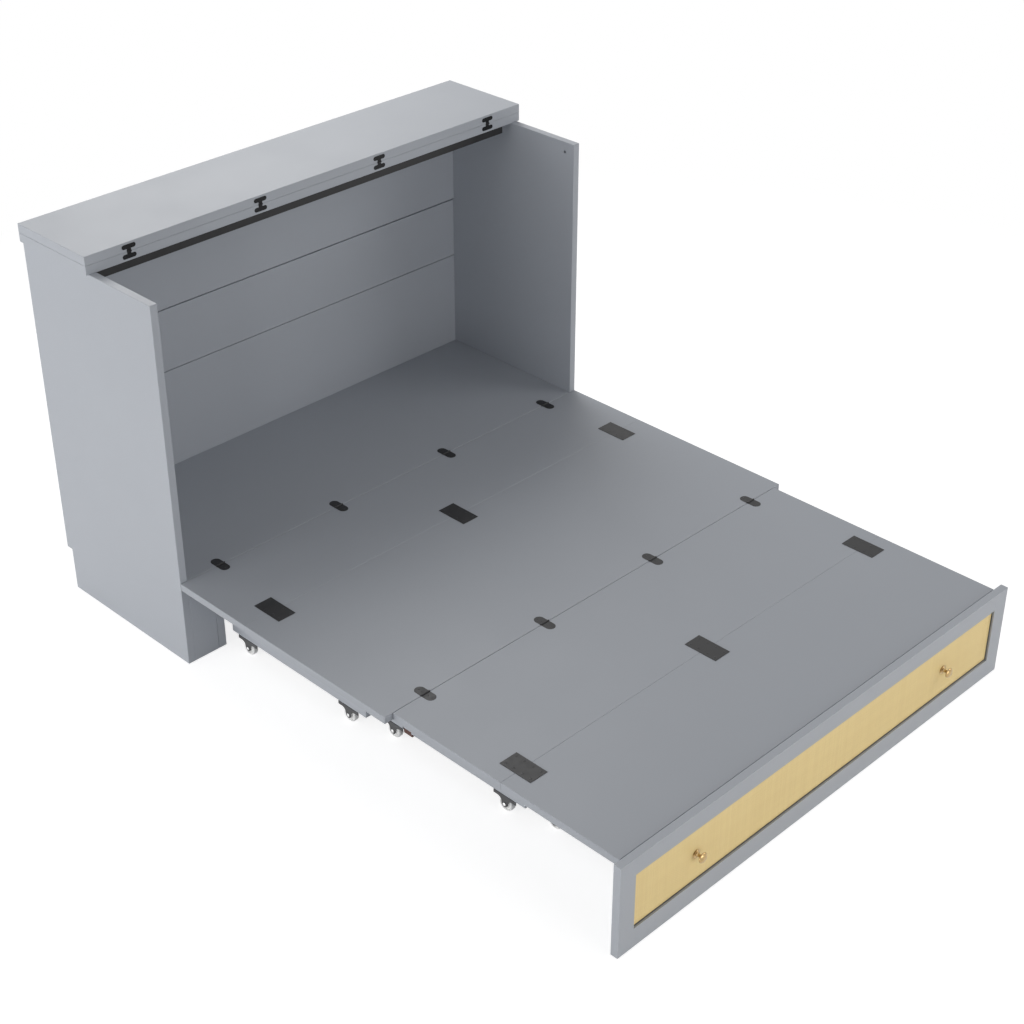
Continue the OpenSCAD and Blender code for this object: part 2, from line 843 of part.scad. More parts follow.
// Front board: a frame, a cane sheet let into it and a board behind the cane
module panel_rebate() {
    x = window_x + panel_let;
    translate([-x, cane_y, window_low_z - panel_let])
        cube([2 * x, front_t, window_high_z - window_low_z + 2 * panel_let]);
}

module front_stile(side) {
    difference() {
        side_board(side, window_x, front_half_w, front_face_y, front_back_y, floor_gap, front_top_z, joint_ease);
        panel_rebate();
    }
}

module front_left_stile() {
    color(paint) placed() front_stile(-1);
}

module front_right_stile() {
    color(paint) placed() front_stile(1);
}

module front_rail(low_z, high_z) {
    difference() {
        board([-window_x, front_face_y, low_z], [window_x, front_back_y, high_z], joint_ease);
        panel_rebate();
    }
}

module front_top_rail() {
    color(paint) placed() front_rail(window_high_z, front_top_z);
}

module front_bottom_rail() {
    color(paint) placed() front_rail(floor_gap, window_low_z);
}

module let_in_sheet(y, t) {
    x = window_x + panel_let;
    translate([-x, y, window_low_z - panel_let])
        cube([2 * x, t, window_high_z - window_low_z + 2 * panel_let]);
}

module front_cane_panel() {
    color(cane) placed() let_in_sheet(cane_y, cane_t);
}

module front_backing_board() {
    color(paint) placed() let_in_sheet(cane_y + cane_t, backing_t);
}

// A mushroom knob along -Y from the cane: round base, neck, domed head
module knob() {
    rim_r = knob_l / 10;
    rim_z = knob_l * 0.74;
    neck_r = knob_r * 0.42;
    dome_h = knob_l - rim_z;
    dome_r = (knob_r * knob_r + dome_h * dome_h) / (2 * dome_h);
    rotate([90, 0, 0]) rotate_extrude() {
        square([rosette_r, rosette_t * 0.6]);
        square([rosette_r * 0.82, rosette_t]);
        square([neck_r, rim_z]);
        difference() {
            square([neck_r * 1.5, rosette_t + neck_r]);
            translate([neck_r * 1.5 + rim_r, rosette_t + neck_r]) circle(neck_r);
        }
        translate([knob_r - rim_r, rim_z]) circle(rim_r);
        translate([0, rim_z - rim_r]) square([knob_r - rim_r, rim_r]);
        intersection() {
            translate([0, rim_z]) square([knob_r, dome_h]);
            translate([0, knob_l - dome_r]) circle(dome_r);
        }
    }
}

module front_knobs() {
    color(brass) placed() for (x = [-knob_x, knob_x]) translate([x, cane_y, knob_z]) knob();
}

left_side_panel();
right_side_panel();
fixed_top_board();
top_stiffener();
upper_back_board();
middle_back_board();
lower_back_board();
fixed_deck_board();
left_plinth_front();
right_plinth_front();
left_plinth_panel();
right_plinth_panel();
cabinet_deck_hinge_leaves();
cabinet_lid_hinge_leaves();
lid_board();
lid_hinge_leaves();
mid_deck_rear_board();
mid_deck_front_board();
mid_deck_joining_plates();
mid_deck_rear_hinge_leaves();
mid_deck_front_hinge_leaves();
front_deck_rear_board();
front_deck_front_board();
front_deck_joining_plates();
front_deck_hinge_leaves();
rear_cart_left_rail();
rear_cart_right_rail();
rear_cart_cross_board();
rear_cart_caster_forks();
rear_cart_rear_left_wheel();
rear_cart_rear_right_wheel();
rear_cart_front_left_wheel();
rear_cart_front_right_wheel();
middle_cart_left_rail();
middle_cart_right_rail();
middle_cart_cross_board();
middle_cart_stop_blocks();
middle_cart_caster_forks();
middle_cart_rear_left_wheel();
middle_cart_rear_right_wheel();
middle_cart_front_left_wheel();
middle_cart_front_right_wheel();
front_cart_left_rail();
front_cart_right_rail();
front_cart_cross_board();
front_cart_caster_forks();
front_cart_rear_left_wheel();
front_cart_rear_right_wheel();
front_cart_front_left_wheel();
front_cart_front_right_wheel();
front_left_stile();
front_right_stile();
front_top_rail();
front_bottom_rail();
front_cane_panel();
front_backing_board();
front_knobs();
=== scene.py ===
import json
import math
import random
import bmesh
import bpy
from mathutils import Matrix, Vector


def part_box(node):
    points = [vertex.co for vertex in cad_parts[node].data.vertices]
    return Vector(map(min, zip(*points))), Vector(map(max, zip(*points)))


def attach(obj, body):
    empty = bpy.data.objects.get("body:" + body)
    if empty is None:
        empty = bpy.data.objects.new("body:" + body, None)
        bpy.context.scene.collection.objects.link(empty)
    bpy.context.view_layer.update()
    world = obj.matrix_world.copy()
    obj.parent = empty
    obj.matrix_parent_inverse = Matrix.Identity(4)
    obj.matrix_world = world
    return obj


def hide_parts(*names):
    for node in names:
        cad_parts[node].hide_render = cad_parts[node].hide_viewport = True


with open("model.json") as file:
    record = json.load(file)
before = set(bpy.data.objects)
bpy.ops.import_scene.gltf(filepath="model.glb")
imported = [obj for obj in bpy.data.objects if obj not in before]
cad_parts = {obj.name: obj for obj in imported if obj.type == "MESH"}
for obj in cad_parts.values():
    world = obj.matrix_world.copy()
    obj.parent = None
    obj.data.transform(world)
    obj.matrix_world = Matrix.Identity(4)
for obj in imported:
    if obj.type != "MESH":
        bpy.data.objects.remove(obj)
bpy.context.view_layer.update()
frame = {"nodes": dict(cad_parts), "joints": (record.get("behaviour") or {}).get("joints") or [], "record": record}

# The part's joints by name, with the place of each axis
AXES = {joint["name"]: joint for joint in frame["joints"]}

# Millimetres to metres
MM = 0.001

# Directions that knobs and screws face
UP = (0, 0, 1)
FORWARD = (0, -1, 0)

# Camera: place, degrees to the right of +Y and below the horizon, sensor width and lens in mm
CAMERA_AT = (-2.9334, -2.8806, 2.9245)
CAMERA_HEADING = 45.18
CAMERA_PITCH = 31.99
SENSOR = 36.0
LENS = 67.15
CLIP_END = 200.0

# Light: strength of the world, the point that every lamp faces, and the lamps
WORLD_FILL = 0.135
LAMP_AIM = Vector((0.0, 0.0, 0.35))
# Each lamp: name, heading of the side it stands on, elevation, distance, size, watts
LAMPS = (
    ("low_left", -100, 12, 5.0, 3.2, 86),
    ("near_left", -68, -4, 3.2, 0.3, 5),
    ("low_front", -6, 7, 5.0, 2.6, 54),
    ("front_right", 50, 30, 5.0, 2.6, 42),
    ("top", 0, 88, 5.0, 3.2, 20),
    ("back_right", 155, 42, 5.0, 2.6, 80),
    ("back_left", -135, 22, 5.0, 2.6, 21),
)

# Floor: its own glow and its paint as the camera sees them, and its paint as the light meets it
FLOOR_GLOW = 0.82
FLOOR_SEEN = 0.45
FLOOR_TONE = 0.94
FLOOR_SIZE = 60.0
FLOOR_CELLS = 8
# Distances from the middle between which the floor fades to plain white
FLOOR_FADE = (1.4, 3.2)

# Colours, linear
PAINT = (0.438, 0.462, 0.503)
# The deck's paint is the same paint as the rest, darkened as painted shade for the lower light on the deck
DECK_PAINT_SHADED = (0.390, 0.412, 0.450)
# Near-black of the reed: painted shade, standing in for the shadow in the recess round the cane
PAINTED_RECESS_SHADE = (0.075, 0.070, 0.062)
ZINC = (0.80, 0.80, 0.81)
BLACK = (0.016, 0.016, 0.017)
JET = (0.009, 0.009, 0.010)
STEEL_GREY = (0.062, 0.063, 0.066)
BARE_METAL = (0.30, 0.30, 0.31)
BRASS = (0.50, 0.35, 0.165)
BROWN = (0.105, 0.050, 0.040)
PALE = (0.96, 0.96, 0.955)
CANE_LIGHT = (0.985, 0.765, 0.365)
CANE_DARK = (0.87, 0.64, 0.28)
# Painted shade along the edges of each strand, where the strands meet
CANE_EDGE_SHADE = (0.42, 0.27, 0.11)

# Gloss of the paint, and where a noise has its low and its high spots
PAINT_ROUGH = 0.47
SPOTS = (0.3, 0.7)
# How far a rounded and a flat normal agree, from an unworn spot to a fully worn edge
EDGE_AGREE = (0.985, 0.80)

# Weave of the cane panel: strands, their own values on the mesh, and the range of their tones
STRAND_PITCH = 3.3 * MM
STRAND_SHARE = 0.985
STRAND_CROWN = 0.34 * MM
STRAND_LIFT = 0.17 * MM
# The last value marks the strand edges, which get painted shade
STRAND_VALUES = ("tone", "run", "strand_edge_shade")
STRAND_TONES = (0.35, 1.0)
WEAVE_SEED = 7

# Reed round the cane panel; its shape runs across it, in shares of width and rise
REED_W = 3.2 * MM
REED_RISE = 1.3 * MM
REED_SHAPE = ((0.0, 0.0), (0.12, 0.62), (0.34, 0.93), (0.66, 0.93), (0.88, 0.62), (1.0, 0.0))

# Knobs: shape from base to tip, in shares of the head's radius and of the knob's length
KNOB_HEAD_R = 13 * MM
KNOB_ANGLES = [math.radians(7.5 * k) for k in range(48)]
KNOB_SHAPE = (
    (0.82, -0.012), (0.846, 0.016), (0.846, 0.045), (0.79, 0.064), (0.66, 0.070), (0.62, 0.100),
    (0.50, 0.122), (0.40, 0.150), (0.31, 0.24), (0.28, 0.38), (0.33, 0.52), (0.48, 0.62), (0.74, 0.69),
    (0.94, 0.71), (1.0, 0.75), (1.0, 0.785), (0.975, 0.825), (0.92, 0.865), (0.81, 0.912), (0.64, 0.955),
    (0.42, 0.984), (0.2, 0.997), (0.05, 1.0))
# Faces of a turned piece that meet at more than this angle keep a hard line
CREASE = math.radians(32)

# Riveted ends of the caster axles: shape in shares of the radius and in mm outwards
RIVET_R = 4.5 * MM
RIVET_OUT = 12.0 * MM
RIVET_SHAPE = ((1.0, -0.2), (1.0, 0.35), (0.86, 0.85), (0.55, 1.15), (0.18, 1.25))

# Screw heads; from RIM_RISE on, shares of the head's radius or rise
SCREW_ANGLES = [math.radians(15 * k) for k in range(24)]
HEAD_RISE = 0.35 * MM
HEAD_SINK = 0.2 * MM
RIM_RISE = 0.15
SHOULDER_R = 0.86
SHOULDER_RISE = 0.66
SLOT_LENGTH = 0.62
SLOT_WIDTH = 0.17
SLOT_TAPER = 0.88
SLOT_FLOOR = 0.15

# Hinges stand at these shares of the way from the middle to the outer one
HINGE_SHARES = (-1, -1 / 3, 1 / 3, 1)
# How far the leaves stand proud of the boards that they are let into
LEAF_PROUD = 0.4 * MM

# Deck hinges
DECK_LEAF_W = 27 * MM
DECK_SCREW_FROM_AXIS = (10.5 * MM, 22.5 * MM)
DECK_SCREW_R = 2.7 * MM
# Each row of deck hinge leaves: piece, node, body, joint, side of the axis, board
DECK_LEAVES = (
    ("cabinet_hinge_screws", "cabinet_deck_hinge_leaves",
     "cabinet", "mid_deck_fold", 1, "fixed_deck_board"),
    ("middle_rear_hinge_screws", "mid_deck_rear_hinge_leaves",
     "mid_deck", "mid_deck_fold", -1, "mid_deck_rear_board"),
    ("middle_front_hinge_screws", "mid_deck_front_hinge_leaves",
     "mid_deck", "front_deck_fold", 1, "mid_deck_front_board"),
    ("front_hinge_screws", "front_deck_hinge_leaves",
     "front_deck", "front_deck_fold", -1, "front_deck_rear_board"),
)

# Lid hinges
LID_LEAF_W = 40 * MM
LID_SCREW_SPREAD = 13 * MM
LID_BAR_REACH = 12.5 * MM
LID_AXIS_OUT = 0.5 * MM
LID_SCREW_R = 2.6 * MM
LID_HEAD_RISE = 0.09 * MM

# Joining plates, with pairs of screws at these shares of the way from the middle to the end ones
PLATE_W = 53 * MM
PLATE_MARGIN = 10 * MM
PLATE_SCREW_R = 3.6 * MM
PLATE_SHARES = (-1, -0.36, 0.36, 1)


# Node helpers

def set_inputs(tree, node, values):
    """Puts a value, or another node's output, on each input that is named or numbered."""
    for key, value in values.items():
        if isinstance(value, bpy.types.NodeSocket):
            tree.links.new(value, node.inputs[key])
        else:
            node.inputs[key].default_value = value


def add(tree, kind, values=None, **settings):
    """A new node with its settings and its input values."""
    made = tree.nodes.new(kind)
    for key, value in settings.items():
        setattr(made, key, value)
    set_inputs(tree, made, values or {})
    return made


def empty_tree(owner):
    """The node tree of a material or world, with nothing in it."""
    owner.use_nodes = True
    owner.node_tree.nodes.clear()
    return owner.node_tree


def new_material(name):
    """A material, its node tree and its shader, which is on the output."""
    mat = bpy.data.materials.new(name)
    tree = empty_tree(mat)
    shader = add(tree, "ShaderNodeBsdfPrincipled")
    add(tree, "ShaderNodeOutputMaterial", {"Surface": shader.outputs[0]})
    return mat, tree, shader


def place_of(tree, squeeze=(1.0, 1.0, 1.0)):
    """The place on the object in metres; a pattern on it is squeezed along each axis."""
    coords = add(tree, "ShaderNodeTexCoord").outputs["Object"]
    return add(tree, "ShaderNodeMapping", {"Vector": coords, "Scale": squeeze}).outputs[0]


def noise(tree, place, scale, detail=2.0, roughness=0.5):
    """Soft random spots, as many to the metre as the scale says."""
    values = {"Vector": place, "Scale": scale, "Detail": detail, "Roughness": roughness}
    return add(tree, "ShaderNodeTexNoise", values).outputs["Fac"]


def spread(tree, value, low, high, new_low=0.0, new_high=1.0):
    """Maps low to high on new_low to new_high, and holds the ends beyond them."""
    values = {0: value, 1: low, 2: high, 3: new_low, 4: new_high}
    return add(tree, "ShaderNodeMapRange", values, clamp=True).outputs[0]


def maths(tree, operation, a, b):
    """Two values put together, such as by MULTIPLY or MAXIMUM."""
    return add(tree, "ShaderNodeMath", {0: a, 1: b}, operation=operation).outputs[0]


def times(tree, a, b):
    return maths(tree, "MULTIPLY", a, b)


def mixed(tree, share, a, b):
    """Colour a where the share is 0, and colour b where it is 1."""
    values = {0: share}
    for index, colour in ((6, a), (7, b)):
        values[index] = colour if isinstance(colour, bpy.types.NodeSocket) else (*colour, 1.0)
    return add(tree, "ShaderNodeMix", values, data_type="RGBA").outputs[2]


def shade(colour, factor):
    """The same colour, darker or lighter."""
    return tuple(min(1.0, part * factor) for part in colour)


def mottled(tree, pattern, colour, dark, light):
    """A colour that goes from a dark to a light shade with a noise."""
    return mixed(tree, spread(tree, pattern, *SPOTS), shade(colour, dark), shade(colour, light))


def edges(tree, radius):
    """1 along the sharp edges of a solid and 0 on its flats."""
    rounded = add(tree, "ShaderNodeBevel", {"Radius": radius}, samples=4).outputs[0]
    flat = add(tree, "ShaderNodeNewGeometry").outputs["Normal"]
    agree = add(tree, "ShaderNodeVectorMath", {0: rounded, 1: flat}, operation="DOT_PRODUCT")
    return spread(tree, agree.outputs["Value"], *EDGE_AGREE)


def relief(tree, shader, layers):
    """Chained bumps: (height, depth in metres, strength) from the coarsest to the finest."""
    normal = None
    for height, depth, strength in layers:
        values = {"Height": height, "Distance": depth, "Strength": strength}
        if normal is not None:
            values["Normal"] = normal
        normal = add(tree, "ShaderNodeBump", values).outputs[0]
    tree.links.new(normal, shader.inputs["Normal"])


# Materials

def paint(name, colour):
    """Satin paint: roller stipple, faint clouds, and a lighter edge line, part worn paint and part painted
    highlight.
    """
    mat, tree, shader = new_material(name)
    place = place_of(tree)
    clouds = noise(tree, place, scale=2.2, detail=3.0)
    sheen = noise(tree, place, scale=7.0, detail=3.0)
    waves = noise(tree, place, scale=34.0)
    chips = noise(tree, place, scale=90.0, detail=3.0, roughness=0.65)
    stipple = noise(tree, place, scale=620.0)
    ground = mottled(tree, clouds, colour, dark=0.986, light=1.014)
    dabs = spread(tree, stipple, 0.35, 0.65, new_high=0.5)
    ground = mixed(tree, dabs, ground, shade(colour, 1.03))
    rubbed = spread(tree, chips, 0.50, 0.62, new_low=0.10, new_high=0.42)
    # Lighter edge line: partly worn paint, partly a painted highlight along the edges
    wear = times(tree, edges(tree, radius=1.1 * MM), rubbed)
    set_inputs(tree, shader, {
        "Base Color": mixed(tree, wear, ground, shade(colour, 1.5)),
        "Roughness": spread(tree, sheen, *SPOTS, PAINT_ROUGH - 0.02, PAINT_ROUGH + 0.03)})
    relief(tree, shader, ((waves, 0.06 * MM, 0.35), (stipple, 0.10 * MM, 0.40)))
    return mat


def coated_metal(name, colour, rough=0.42, specular=0.36):
    """Black or grey coated metal: fine powder grain, rubbed to bare metal along the edges."""
    mat, tree, shader = new_material(name)
    place = place_of(tree)
    clouds = noise(tree, place, scale=60.0, detail=3.0)
    chips = noise(tree, place, scale=260.0, detail=3.0, roughness=0.6)
    grain = noise(tree, place, scale=1500.0)
    ground = mottled(tree, clouds, colour, dark=0.85, light=1.2)
    rubbed = spread(tree, chips, 0.45, 0.65, new_low=0.05, new_high=0.35)
    wear = times(tree, edges(tree, radius=0.5 * MM), rubbed)
    set_inputs(tree, shader, {
        "Base Color": mixed(tree, wear, ground, BARE_METAL),
        "Roughness": spread(tree, clouds, *SPOTS, rough - 0.06, rough + 0.08),
        "Specular IOR Level": specular})
    relief(tree, shader, ((grain, 0.03 * MM, 0.35),))
    return mat


def polished(name, colour, rough):
    """Polished metal with fine turning marks and finger haze."""
    mat, tree, shader = new_material(name)
    haze = noise(tree, place_of(tree), scale=110.0, detail=3.0, roughness=0.6)
    rings = noise(tree, place_of(tree, squeeze=(1.0, 14.0, 1.0)), scale=260.0, detail=1.0)
    set_inputs(tree, shader, {
        "Base Color": mottled(tree, haze, colour, dark=0.80, light=1.08),
        "Roughness": spread(tree, haze, 0.35, 0.75, rough, rough + 0.14),
        "Metallic": 1.0})
    relief(tree, shader, ((rings, 0.02 * MM, 0.25),))
    return mat


def wheel_plastic(name, colour):
    """Pale moulded plastic, slightly soft inside, with faint scuffs."""
    mat, tree, shader = new_material(name)
    scratches = noise(tree, place_of(tree, squeeze=(1.0, 5.0, 5.0)), scale=90.0, detail=4.0, roughness=0.7)
    scuffs = spread(tree, scratches, 0.55, 0.75)
    grain = noise(tree, place_of(tree), scale=700.0)
    set_inputs(tree, shader, {
        "Base Color": mixed(tree, times(tree, scuffs, 0.35), colour, shade(colour, 0.72)),
        "Roughness": spread(tree, scuffs, 0.0, 1.0, new_low=0.32, new_high=0.55),
        "Subsurface Weight": 0.12,
        "Subsurface Radius": (2 * MM, 2 * MM, 2 * MM),
        "Subsurface Scale": 1.0})
    relief(tree, shader, ((grain, 0.03 * MM, 0.3),))
    return mat


def rubber(name, colour):
    """Matt brown rubber with a coarse grain."""
    mat, tree, shader = new_material(name)
    place = place_of(tree)
    clouds = noise(tree, place, scale=70.0, detail=3.0)
    grain = noise(tree, place, scale=420.0, detail=4.0, roughness=0.6)
    set_inputs(tree, shader, {
        "Base Color": mixed(tree, clouds, shade(colour, 0.75), shade(colour, 1.3)),
        "Roughness": spread(tree, grain, *SPOTS, 0.6, 0.85)})
    relief(tree, shader, ((grain, 0.15 * MM, 0.5),))
    return mat


def cane(name):
    """Split cane: a tone for each strand, fibres along it, painted shade along each strand's edges and a waxy
    gloss.
    """
    mat, tree, shader = new_material(name)
    tone, run, strand_edge_shade = (add(tree, "ShaderNodeAttribute", attribute_name=title).outputs["Fac"]
                      for title in STRAND_VALUES)
    upright = noise(tree, place_of(tree, squeeze=(30.0, 30.0, 1.0)), scale=60.0, detail=3.0, roughness=0.6)
    level = noise(tree, place_of(tree, squeeze=(1.0, 30.0, 30.0)), scale=60.0, detail=3.0, roughness=0.6)
    fibre = add(tree, "ShaderNodeMix", {0: run, 2: upright, 3: level}).outputs[0]
    blotch = spread(tree, noise(tree, place_of(tree), scale=9.0, detail=3.0), *SPOTS)
    pale_fibre = times(tree, spread(tree, fibre, 0.35, 0.65), 0.30)
    ground = mixed(tree, tone, CANE_DARK, CANE_LIGHT)
    ground = mixed(tree, pale_fibre, ground, shade(CANE_LIGHT, 1.12))
    ground = mixed(tree, times(tree, blotch, 0.10), ground, CANE_DARK)
    # Painted shade: darker towards each strand's edges
    ground = mixed(tree, spread(tree, strand_edge_shade, 0.72, 1.0, new_high=0.55), ground, CANE_EDGE_SHADE)
    set_inputs(tree, shader, {
        "Base Color": ground,
        "Roughness": spread(tree, fibre, *SPOTS, 0.42, 0.62)})
    relief(tree, shader, ((fibre, 0.08 * MM, 0.5),))
    return mat


# Materials by name, one for each slot of the record
MATERIALS = {
    "panel_paint": paint("panel_paint", PAINT),
    "top_paint": paint("top_paint", PAINT),
    "back_paint": paint("back_paint", PAINT),
    # Painted shade: the deck boards get a darker copy of the same paint
    "deck_paint": paint("deck_paint", DECK_PAINT_SHADED),
    "cart_paint": paint("cart_paint", PAINT),
    "front_paint": paint("front_paint", PAINT),
    "backing_paint": paint("backing_paint", PAINT),
    "cane": cane("cane"),
    "knob_brass": polished("knob_brass", BRASS, rough=0.13),
    "hinge_metal": coated_metal("hinge_metal", BLACK),
    "lid_hinge_metal": coated_metal("lid_hinge_metal", JET, rough=0.36, specular=0.20),
    "plate_metal": coated_metal("plate_metal", BLACK),
    "stiffener_metal": coated_metal("stiffener_metal", BLACK),
    "caster_steel": coated_metal("caster_steel", STEEL_GREY, rough=0.38),
    "stop_rubber": rubber("stop_rubber", BROWN),
    "wheel_plastic": wheel_plastic("wheel_plastic", PALE),
}

# Finishes of the two kinds of trim that aren't nodes
# The reed is a real strip, but its near-black coat is painted shade for the recess round the cane
REED_SHADE_COAT = coated_metal("reed", PAINTED_RECESS_SHADE, rough=0.6)
RIVET_ZINC = polished("zinc", ZINC, rough=0.28)


def dress_nodes():
    """Gives every CAD node the material of its slot."""
    for part in frame["record"]["subparts"]:
        node = frame["nodes"][part["node"]]
        for holder in node.material_slots:
            holder.material = MATERIALS[part["material_slot"]]


# Mesh helpers

def in_scene(name, data):
    """A new object in the scene for a mesh, camera or lamp."""
    made = bpy.data.objects.new(name, data)
    bpy.context.scene.collection.objects.link(made)
    return made


def from_mesh(name, bm, material):
    """A new object in the scene with the mesh that was built."""
    mesh = bpy.data.meshes.new(name)
    bm.to_mesh(mesh)
    bm.free()
    mesh.materials.append(material)
    return in_scene(name, mesh)


def soften(bm):
    """Smooth faces, with a hard line wherever two of them meet at more than the crease angle."""
    for face in bm.faces:
        face.smooth = True
    for edge in bm.edges:
        edge.smooth = edge.calc_face_angle(0.0) < CREASE


def finish_piece(bm, name, body, material, nodes=(), smooth=False):
    """Makes a piece that rides on a body, with the material given, and hides the nodes that it stands for."""
    bmesh.ops.recalc_face_normals(bm, faces=bm.faces)
    if smooth:
        soften(bm)
    piece = from_mesh(name, bm, material)
    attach(piece, body)
    if nodes:
        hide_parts(*nodes)


def joined(bm, a, b):
    """A face from each side of one closed loop to the same side of the next."""
    ahead = a[1:] + a[:1]
    b_ahead = b[1:] + b[:1]
    return [bm.faces.new(corners) for corners in zip(a, ahead, b_ahead, b)]


def stacked(bm, place, rings):
    """A closed solid from rings of (x, y, height), each as long as the last, capped at its ends."""
    loops = []
    for ring in rings:
        loops.append([bm.verts.new(place @ Vector(point)) for point in ring])
    for a, b in zip(loops, loops[1:]):
        joined(bm, a, b)
    bm.faces.new(loops[0][::-1])
    bm.faces.new(loops[-1])


def circle(radius, height, angles=SCREW_ANGLES):
    return [(radius * math.cos(a), radius * math.sin(a), height) for a in angles]


def facing(centre, normal, turn=0.0):
    """Puts a piece drawn standing up at centre, along normal, turned about its own axis."""
    return (Matrix.Translation(centre) @ Vector(normal).to_track_quat("Z", "Y").to_matrix().to_4x4()
            @ Matrix.Rotation(turn, 4, "Z"))


# Weave of the cane panel

def strand(bm, start, step, count, side, over_first, tone, run, half_w):
    """One closed strand: a crowned ribbon that goes over and under, with a ring at each crossing."""
    layers = [bm.verts.layers.float[title] for title in STRAND_VALUES]
    out = Vector(FORWARD)
    rings = []
    for k in range(count + 1):
        over = 1.0 if (k + over_first) % 2 == 0 else -1.0
        if k in (0, count):
            over = 0.0
        centre = start + step * k + out * (STRAND_LIFT * over)
        rings.append([bm.verts.new(centre - side * half_w - out * STRAND_CROWN * 0.5),
                      bm.verts.new(centre + out * STRAND_CROWN * 0.5),
                      bm.verts.new(centre + side * half_w - out * STRAND_CROWN * 0.5)])
    # Strand edges get 1 for the painted shade along them, the crown gets 0
    for ring in rings:
        for vert, strand_edge_shade in zip(ring, (1.0, 0.0, 1.0)):
            for layer, value in zip(layers, (tone, run, strand_edge_shade)):
                vert[layer] = value
    for a, b in zip(rings, rings[1:]):
        for face, crowned in zip(joined(bm, a, b), (True, True, False)):
            face.smooth = crowned
        for i in (0, 2):
            bm.edges.get((a[i], b[i])).smooth = False
    bm.faces.new(rings[0][::-1])
    bm.faces.new(rings[-1])


def weave(name, node, body, material):
    """A close plain weave that fills the panel's box, and sits where the panel sits."""
    lo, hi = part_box(node)
    rng = random.Random(WEAVE_SEED)
    bm = bmesh.new()
    for title in STRAND_VALUES:
        bm.verts.layers.float.new(title)
    columns = round((hi.x - lo.x) / STRAND_PITCH)
    rows = round((hi.z - lo.z) / STRAND_PITCH)
    step_x = (hi.x - lo.x) / columns
    step_z = (hi.z - lo.z) / rows
    plane_y = lo.y + STRAND_LIFT + STRAND_CROWN
    for i in range(columns):
        start = Vector((lo.x + step_x * (i + 0.5), plane_y, lo.z + step_z * 0.5))
        strand(bm, start, Vector((0, 0, step_z)), rows - 1, Vector((1, 0, 0)), over_first=i,
               tone=rng.uniform(*STRAND_TONES), run=0.0, half_w=step_x * STRAND_SHARE / 2)
    for j in range(rows):
        start = Vector((lo.x + step_x * 0.5, plane_y, lo.z + step_z * (j + 0.5)))
        strand(bm, start, Vector((step_x, 0, 0)), columns - 1, Vector((0, 0, 1)), over_first=j + 1,
               tone=rng.uniform(*STRAND_TONES), run=1.0, half_w=step_z * STRAND_SHARE / 2)
    finish_piece(bm, name, body, material, [node])


# Reed pressed into the groove round the cane panel; its near-black coat is painted shade for the recess

def window():
    """The left, right, low and high edges of the opening between the front's stiles and rails."""
    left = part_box("front_left_stile")[1].x
    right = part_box("front_right_stile")[0].x
    return left, right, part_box("front_bottom_rail")[1].z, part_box("front_top_rail")[0].z


def reed(name, body, material):
    """A mitred half-round strip round the window, on the face of the cane."""
    left, right, low, high = window()
    face_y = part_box("front_cane_panel")[0].y
    bm = bmesh.new()
    loops = []
    for x, z, dx, dz in ((left, low, 1, 1), (right, low, -1, 1), (right, high, -1, -1), (left, high, 1, -1)):
        loops.append([bm.verts.new((x + dx * REED_W * across, face_y - REED_RISE * rise,
                                    z + dz * REED_W * across)) for across, rise in REED_SHAPE])
    for a, b in zip(loops, loops[1:] + loops[:1]):
        joined(bm, a, b)
    finish_piece(bm, name, body, material)


# Knobs, turned with a fuller head than the solids have

def knobs(name, node, body):
    """Two mushroom knobs on the spots where the node's two stand."""
    lo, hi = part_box(node)
    base_r = (hi.z - lo.z) / 2
    length = hi.y - lo.y
    bm = bmesh.new()
    for x in (lo.x + base_r, hi.x - base_r):
        place = facing(Vector((x, hi.y, lo.z + base_r)), FORWARD)
        stacked(bm, place, [circle(KNOB_HEAD_R * across, length * along, KNOB_ANGLES)
                            for across, along in KNOB_SHAPE])
    finish_piece(bm, name, body, MATERIALS["knob_brass"], [node], smooth=True)


# Riveted ends of the caster axles

def rivets(cart, material):
    """A bright upset head on both ends of each axle of a cart's four casters."""
    bm = bmesh.new()
    for name in frame["nodes"]:
        if not (name.startswith(cart + "_") and name.endswith("_wheel")):
            continue
        lo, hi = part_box(name)
        centre = (lo + hi) / 2
        for side in (-1, 1):
            place = facing(centre + Vector((side * RIVET_OUT, 0, 0)), (side, 0, 0))
            stacked(bm, place, [circle(RIVET_R * share, rise * MM) for share, rise in RIVET_SHAPE])
    finish_piece(bm, cart + "_axle_rivets", cart, material, smooth=True)


# Screws of the hinges and joining plates

def cross_radius(angle, radius):
    """How far out the edge of a cross recess lies at an angle, in a head of this radius."""
    turn = angle % (math.pi / 2)
    turn = min(turn, math.pi / 2 - turn)
    if turn < math.atan2(SLOT_WIDTH, SLOT_LENGTH):
        return radius * SLOT_LENGTH / math.cos(turn)
    return radius * SLOT_WIDTH / math.sin(turn)


def cross(radius, height):
    """The outline of a cross recess, point for point with a circle."""
    return [(cross_radius(a, radius) * math.cos(a), cross_radius(a, radius) * math.sin(a), height)
            for a in SCREW_ANGLES]


def screw_head(bm, centre, normal, radius, rise, turn):
    """A raised countersunk head with a cross recess."""
    stacked(bm, facing(centre, normal, turn), [
        circle(radius, -HEAD_SINK), circle(radius, rise * RIM_RISE),
        circle(radius * SHOULDER_R, rise * SHOULDER_RISE),
        cross(radius, rise), cross(radius * SLOT_TAPER, rise * SLOT_FLOOR)])


def screws(name, body, slot_name, radius, rise, places):
    """One piece with a screw head at every place, each turned at random about its own axis."""
    rng = random.Random(len(places))
    bm = bmesh.new()
    for centre, normal in places:
        screw_head(bm, centre, normal, radius, rise, rng.uniform(0, math.pi / 2))
    finish_piece(bm, name, body, MATERIALS[slot_name])


